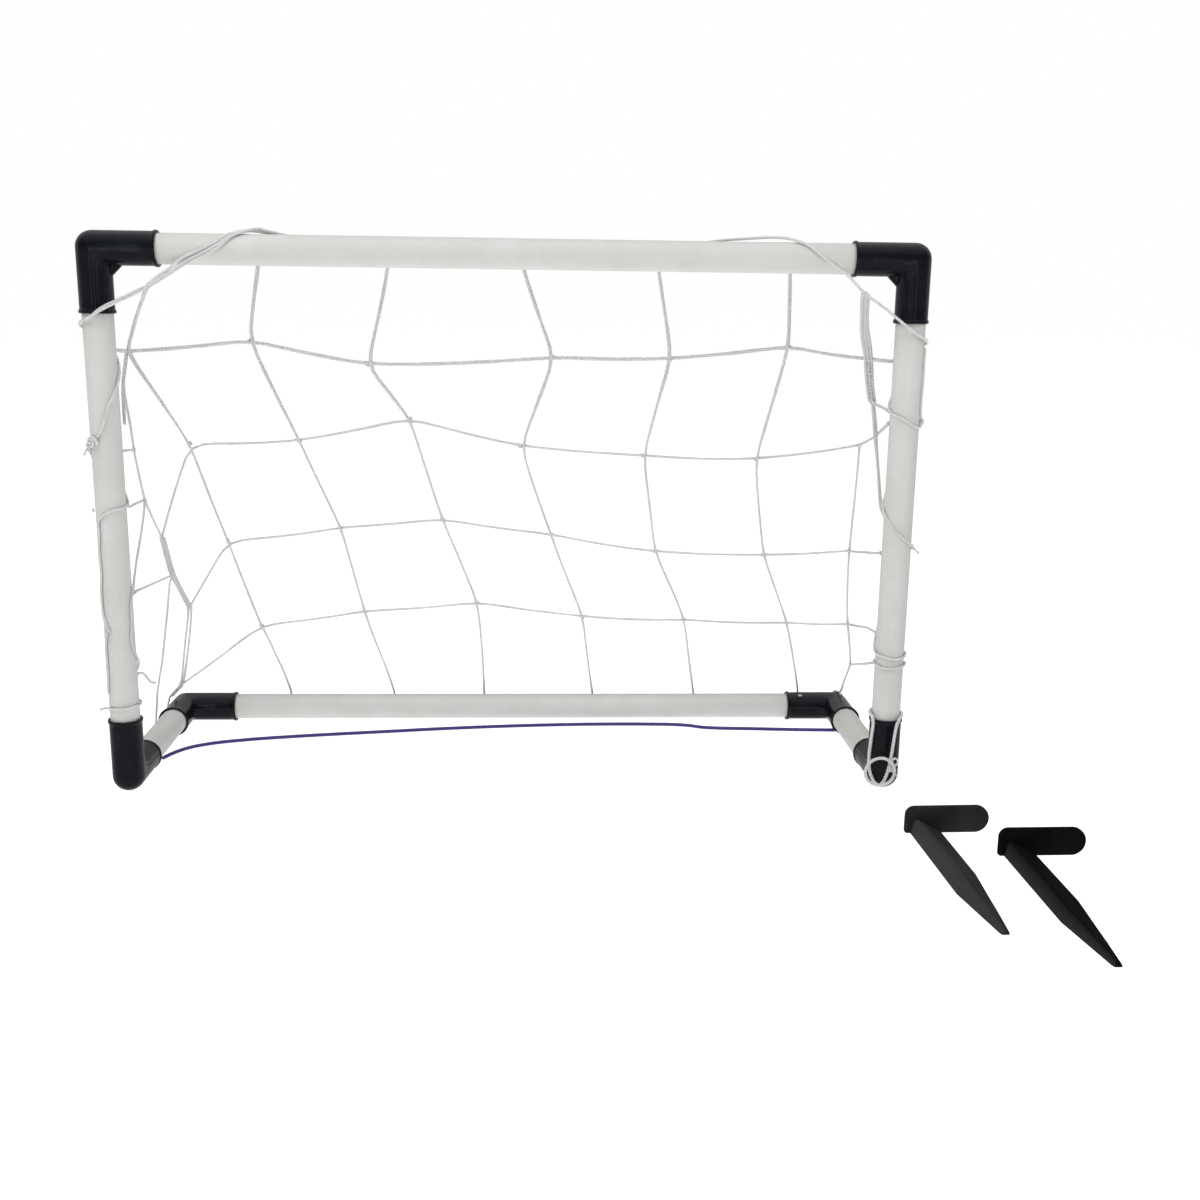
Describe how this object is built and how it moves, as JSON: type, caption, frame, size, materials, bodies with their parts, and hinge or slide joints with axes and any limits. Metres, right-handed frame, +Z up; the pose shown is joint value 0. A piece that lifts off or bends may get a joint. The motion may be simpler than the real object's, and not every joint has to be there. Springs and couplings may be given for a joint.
{
  "type": "lawn goal",
  "caption": "Small push-fit goal of plastic tubes in corner elbows, with a slanted twine net laced to the frame and L-shaped ground pegs beside it.",
  "frame": {"origin": "middle of the base of the whole set, goal and pegs, on the ground", "axes": "+X along the crossbar, to the right as seen from in front of the goal; +Y from the goal mouth back into the net; +Z up"},
  "size_m": [0.7049, 0.4803, 0.4134],
  "materials": {
    "tube_plastic": "satin white extruded tube",
    "elbow_plastic": "glossy blue-black moulded plastic",
    "net_twine": "white twisted twine",
    "net_rope": "white twisted cord",
    "blue_cord": "dark blue twisted cord",
    "peg_plastic": "satin black moulded plastic"
  },
  "bodies": {
    "goal": {"crossbar": "tube_plastic", "left_upright": "tube_plastic", "right_upright": "tube_plastic", "left_side_tube": "tube_plastic", "right_side_tube": "tube_plastic", "rear_bar": "tube_plastic", "top_left_elbow": "elbow_plastic", "top_right_elbow": "elbow_plastic", "front_left_elbow": "elbow_plastic", "front_right_elbow": "elbow_plastic", "rear_left_elbow": "elbow_plastic", "rear_right_elbow": "elbow_plastic", "net_row_1": "net_twine", "net_row_2": "net_twine", "net_row_3": "net_twine", "net_row_4": "net_twine", "net_column_1": "net_twine", "net_column_2": "net_twine", "net_column_3": "net_twine", "net_column_4": "net_twine", "net_column_5": "net_twine", "net_column_6": "net_twine", "net_column_7": "net_twine", "net_side_left": "net_twine", "net_side_right": "net_twine", "net_edge_left": "net_twine", "net_tie_left_upper": "net_twine", "net_tie_left_lower": "net_twine", "net_tie_right_upper": "net_twine", "net_tie_right_lower": "net_twine", "head_rope": "net_rope", "lacing_left": "net_rope", "lacing_right": "net_rope", "bottom_rope": "net_rope", "corner_loop": "net_rope", "corner_ring": "net_rope", "ground_cord": "blue_cord"},
    "peg_left": {"peg_left": "peg_plastic"},
    "peg_right": {"peg_right": "peg_plastic"}
  },
  "joints": [
    {"name": "peg_left_lift", "type": "slide", "parent": "goal", "child": "peg_left", "axis": [0, 0, 1], "range_m": [0, 0.15]},
    {"name": "peg_right_lift", "type": "slide", "parent": "goal", "child": "peg_right", "axis": [0, 0, 1], "range_m": [0, 0.15]}
  ]
}
